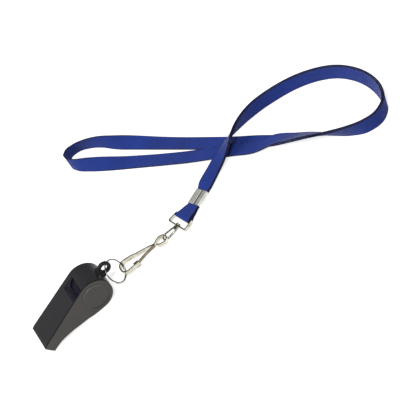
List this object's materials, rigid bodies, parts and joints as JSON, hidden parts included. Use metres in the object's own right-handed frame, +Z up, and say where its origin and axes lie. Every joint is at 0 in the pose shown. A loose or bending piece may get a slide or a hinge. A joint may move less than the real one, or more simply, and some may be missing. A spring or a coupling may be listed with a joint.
{
  "type": "sports whistle",
  "caption": "Pea whistle of black plastic with a side cover, split ring, swivel snap hook, strap frame, crimp and flat blue neck strap, as it lies on a table.",
  "frame": {"origin": "on the table, under the middle of the box round the whistle and its metal fittings, strap and crimp left out", "axes": "+X from the whistle's mouth towards the strap along the table, +Y away from the side cover, +Z up from the table"},
  "size_m": [0.2553, 0.1648, 0.0225],
  "materials": {
    "whistle_body": "satin black moulded plastic",
    "side_cover": "satin black moulded plastic",
    "pea": "dark pressed cork, matt",
    "split_ring": "nickel plated steel wire",
    "hook_body": "nickel plated steel strip",
    "hook_gate": "nickel plated spring steel",
    "swivel_link": "nickel plated steel wire",
    "swivel_stud": "nickel plated steel",
    "strap_frame": "nickel plated steel strip",
    "strap_crimp": "nickel plated sheet",
    "neck_strap": "royal blue woven polyester ribbon with darker edges"
  },
  "bodies": {
    "whistle": {"whistle_body": "whistle_body", "side_cover": "side_cover"},
    "pea": {"pea": "pea"},
    "ring": {"split_ring": "split_ring"},
    "hook": {"hook_body": "hook_body"},
    "gate": {"hook_gate": "hook_gate"},
    "swivel": {"swivel_link": "swivel_link", "swivel_stud": "swivel_stud"},
    "frame": {"strap_frame": "strap_frame"},
    "strap": {"strap_crimp": "strap_crimp", "neck_strap": "neck_strap"}
  },
  "joints": [
    {"name": "pea_roll", "type": "hinge", "parent": "whistle", "child": "pea", "pos_m": [-0.01431, 0, 0.01125], "axis": [0, 1, 0], "continuous": true},
    {"name": "ring_swing", "type": "hinge", "parent": "whistle", "child": "ring", "pos_m": [0.00077, 0, 0.01489], "axis": [0.5376, 0.8288, 0.1553], "range_deg": [-10, 0]},
    {"name": "hook_lift", "type": "hinge", "parent": "ring", "child": "hook", "pos_m": [0.00678, -0.00119, 0.00076], "axis": [-0.5349, -0.8293, -0.1617], "range_deg": [0, 15]},
    {"name": "gate_open", "type": "hinge", "parent": "hook", "child": "gate", "pos_m": [0.03086, -0.00111, 0.00294], "axis": [0, 0, -1], "range_deg": [0, 12], "stiffness_Nm_per_rad": 0.004, "springref_deg": -5.73},
    {"name": "link_swing", "type": "hinge", "parent": "hook", "child": "swivel", "pos_m": [0.04054, -0.0017, 0.00294], "axis": [-0.1564, 0.9877, 0], "range_deg": [-25, 0]},
    {"name": "swivel_turn", "type": "hinge", "parent": "swivel", "child": "frame", "pos_m": [0.04933, -0.00019, 0.00229], "axis": [0.9703, 0.2419, 0], "continuous": true},
    {"name": "strap_swing", "type": "hinge", "parent": "frame", "child": "strap", "pos_m": [0.05573, 0.00141, 0.00229], "axis": [-0.2419, 0.9703, 0], "range_deg": [-20, 0]}
  ]
}
